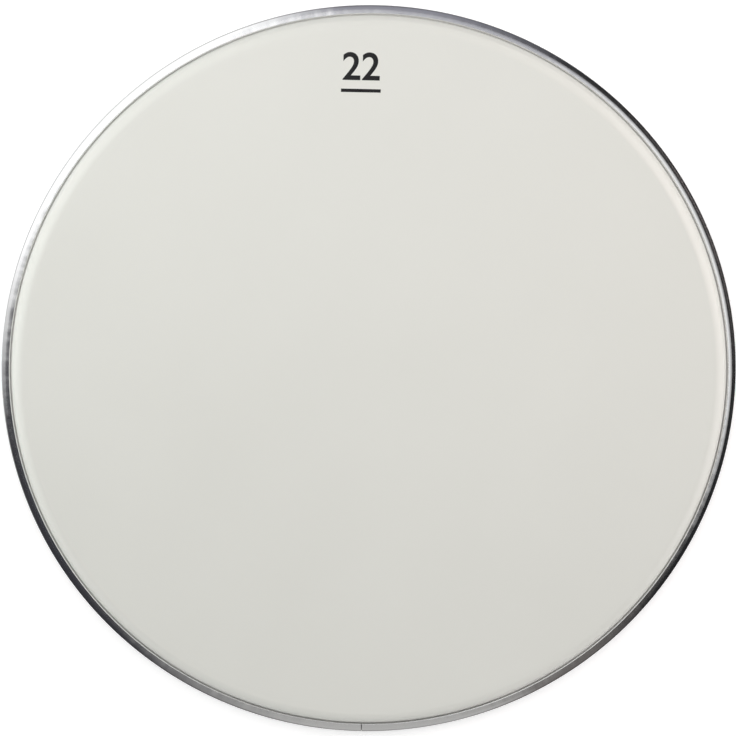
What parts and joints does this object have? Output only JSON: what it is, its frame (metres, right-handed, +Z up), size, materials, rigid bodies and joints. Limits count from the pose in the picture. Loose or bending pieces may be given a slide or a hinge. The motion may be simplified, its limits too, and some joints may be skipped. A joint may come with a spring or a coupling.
{
  "type": "drum head",
  "caption": "Round single-ply white film drum head, its collar cast with resin into a polished aluminium channel hoop, that slips over a bass drum shell and is clamped by a rim.",
  "frame": {"origin": "centre of the hoop's underside", "axes": "+Z up through the playing face along the axis of the shell, -Y towards the hoop's butt joint"},
  "size_m": [0.581, 0.581, 0.022],
  "materials": {
    "film_white": "satin",
    "hoop_aluminium": "polished",
    "resin_clear": "gloss",
    "splice_aluminium": "satin"
  },
  "bodies": {
    "root": {"drum_film": "film_white", "flesh_hoop": "hoop_aluminium", "resin_fill": "resin_clear", "hoop_splice": "splice_aluminium"}
  },
  "joints": []
}
